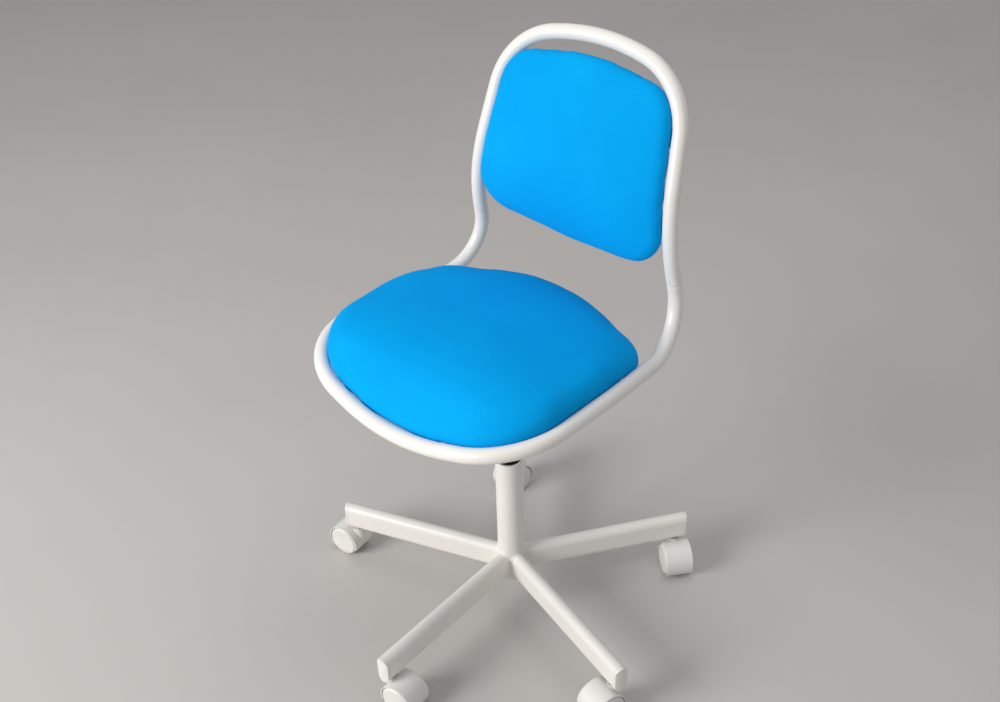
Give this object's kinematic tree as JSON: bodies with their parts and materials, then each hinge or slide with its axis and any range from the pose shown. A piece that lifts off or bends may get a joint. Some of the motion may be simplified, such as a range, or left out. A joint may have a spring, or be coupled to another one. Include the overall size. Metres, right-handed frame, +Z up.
{
  "type": "desk chair",
  "caption": "Swivel desk chair: crowned seat and back pad in one bent white tube frame, gas lift column and five-armed base on hooded twin-wheel castors.",
  "frame": {"origin": "on the floor, on the column axis", "axes": "+Z up, the chair faces -Y, +X is the sitter's left"},
  "size_m": [0.5582, 0.5059, 0.8261],
  "materials": {
    "white_steel": "smooth white powder coat, semi-gloss",
    "white_plastic": "moulded white plastic, satin",
    "castor_white": "moulded white plastic, satin",
    "wheel_white": "moulded off-white plastic, satin",
    "black_plastic": "matt black plastic",
    "black_steel": "black painted steel, semi-gloss",
    "bright_steel": "plated steel",
    "dark_steel": "dark grey painted pressed steel",
    "plywood": "plain birch plywood",
    "blue_fabric": "bright blue close-woven cloth over foam"
  },
  "bodies": {
    "base": {"column_tube": "white_steel", "column_floor": "bright_steel", "guide_bushing": "black_plastic", "arm_1": "white_steel", "arm_2": "white_steel", "arm_3": "white_steel", "arm_4": "white_steel", "arm_5": "white_steel", "arm_cap_1": "white_plastic", "arm_cap_2": "white_plastic", "arm_cap_3": "white_plastic", "arm_cap_4": "white_plastic", "arm_cap_5": "white_plastic"},
    "rod": {"piston_rod": "bright_steel", "thrust_washer": "bright_steel", "rod_clip": "bright_steel"},
    "seat": {"gas_cylinder": "black_steel", "cone_socket": "dark_steel", "mechanism_tray": "dark_steel", "lever_pin": "bright_steel", "seat_bar_front": "white_steel", "seat_bar_rear": "white_steel", "seat_tube": "white_steel", "back_tube": "white_steel", "joint_pins": "white_steel", "seat_board": "plywood", "seat_cushion": "blue_fabric", "seat_bolts": "bright_steel", "back_tabs": "white_steel", "back_board": "plywood", "back_cushion": "blue_fabric", "back_screws": "bright_steel"},
    "lever": {"lever_arm": "dark_steel", "lever_knob": "black_plastic"},
    "button": {"release_button": "bright_steel"},
    "castor_1": {"caster_hood_1": "castor_white", "caster_stem_1": "bright_steel", "caster_axle_1": "bright_steel"},
    "wheel_left_1": {"wheel_left_1": "wheel_white"},
    "wheel_right_1": {"wheel_right_1": "wheel_white"},
    "castor_2": {"caster_hood_2": "castor_white", "caster_stem_2": "bright_steel", "caster_axle_2": "bright_steel"},
    "wheel_left_2": {"wheel_left_2": "wheel_white"},
    "wheel_right_2": {"wheel_right_2": "wheel_white"},
    "castor_3": {"caster_hood_3": "castor_white", "caster_stem_3": "bright_steel", "caster_axle_3": "bright_steel"},
    "wheel_left_3": {"wheel_left_3": "wheel_white"},
    "wheel_right_3": {"wheel_right_3": "wheel_white"},
    "castor_4": {"caster_hood_4": "castor_white", "caster_stem_4": "bright_steel", "caster_axle_4": "bright_steel"},
    "wheel_left_4": {"wheel_left_4": "wheel_white"},
    "wheel_right_4": {"wheel_right_4": "wheel_white"},
    "castor_5": {"caster_hood_5": "castor_white", "caster_stem_5": "bright_steel", "caster_axle_5": "bright_steel"},
    "wheel_left_5": {"wheel_left_5": "wheel_white"},
    "wheel_right_5": {"wheel_right_5": "wheel_white"}
  },
  "joints": [
    {"name": "seat_swivel", "type": "hinge", "parent": "base", "child": "rod", "pos_m": [0, 0, 0.05], "axis": [0, 0, 1], "continuous": true},
    {"name": "seat_lift", "type": "slide", "parent": "rod", "child": "seat", "axis": [0, 0, 1], "range_m": [-0.11, 0.01]},
    {"name": "lever_tilt", "type": "hinge", "parent": "seat", "child": "lever", "pos_m": [-0.03, 0, 0.4537], "axis": [0, 1, 0], "range_deg": [0, 6], "stiffness_Nm_per_rad": 2},
    {"name": "button_press", "type": "slide", "parent": "seat", "child": "button", "axis": [0, 0, 1], "range_m": [-0.0032, 0]},
    {"name": "castor_swivel_1", "type": "hinge", "parent": "base", "child": "castor_1", "pos_m": [0, -0.257, 0.05], "axis": [0, 0, 1], "continuous": true},
    {"name": "wheel_left_spin_1", "type": "hinge", "parent": "castor_1", "child": "wheel_left_1", "pos_m": [0.01943, -0.2553, 0.024], "axis": [-0.0872, 0.9962, 0], "continuous": true},
    {"name": "wheel_right_spin_1", "type": "hinge", "parent": "castor_1", "child": "wheel_right_1", "pos_m": [0.01943, -0.2553, 0.024], "axis": [-0.0872, 0.9962, 0], "continuous": true},
    {"name": "castor_swivel_2", "type": "hinge", "parent": "base", "child": "castor_2", "pos_m": [0.24442, -0.07942, 0.05], "axis": [0, 0, 1], "continuous": true},
    {"name": "wheel_left_spin_2", "type": "hinge", "parent": "castor_2", "child": "wheel_left_2", "pos_m": [0.23872, -0.09806, 0.024], "axis": [0.9563, -0.2924, 0], "continuous": true},
    {"name": "wheel_right_spin_2", "type": "hinge", "parent": "castor_2", "child": "wheel_right_2", "pos_m": [0.23872, -0.09806, 0.024], "axis": [0.9563, -0.2924, 0], "continuous": true},
    {"name": "castor_swivel_3", "type": "hinge", "parent": "base", "child": "castor_3", "pos_m": [0.15106, 0.20792, 0.05], "axis": [0, 0, 1], "continuous": true},
    {"name": "wheel_left_spin_3", "type": "hinge", "parent": "castor_3", "child": "wheel_left_3", "pos_m": [0.16578, 0.19512, 0.024], "axis": [0.6561, 0.7547, 0], "continuous": true},
    {"name": "wheel_right_spin_3", "type": "hinge", "parent": "castor_3", "child": "wheel_right_3", "pos_m": [0.16578, 0.19512, 0.024], "axis": [0.6561, 0.7547, 0], "continuous": true},
    {"name": "castor_swivel_4", "type": "hinge", "parent": "base", "child": "castor_4", "pos_m": [-0.15106, 0.20792, 0.05], "axis": [0, 0, 1], "continuous": true},
    {"name": "wheel_left_spin_4", "type": "hinge", "parent": "castor_4", "child": "wheel_left_4", "pos_m": [-0.15377, 0.18861, 0.024], "axis": [0.9903, -0.1392, 0], "continuous": true},
    {"name": "wheel_right_spin_4", "type": "hinge", "parent": "castor_4", "child": "wheel_right_4", "pos_m": [-0.15377, 0.18861, 0.024], "axis": [0.9903, -0.1392, 0], "continuous": true},
    {"name": "castor_swivel_5", "type": "hinge", "parent": "base", "child": "castor_5", "pos_m": [-0.24442, -0.07942, 0.05], "axis": [0, 0, 1], "continuous": true},
    {"name": "wheel_left_spin_5", "type": "hinge", "parent": "castor_5", "child": "wheel_left_5", "pos_m": [-0.26382, -0.08146, 0.024], "axis": [0.1045, -0.9945, 0], "continuous": true},
    {"name": "wheel_right_spin_5", "type": "hinge", "parent": "castor_5", "child": "wheel_right_5", "pos_m": [-0.26382, -0.08146, 0.024], "axis": [0.1045, -0.9945, 0], "continuous": true}
  ],
  "couplings": [
    {"joint": "button_press", "follows": "lever_tilt", "m_per_rad": -0.03}
  ]
}
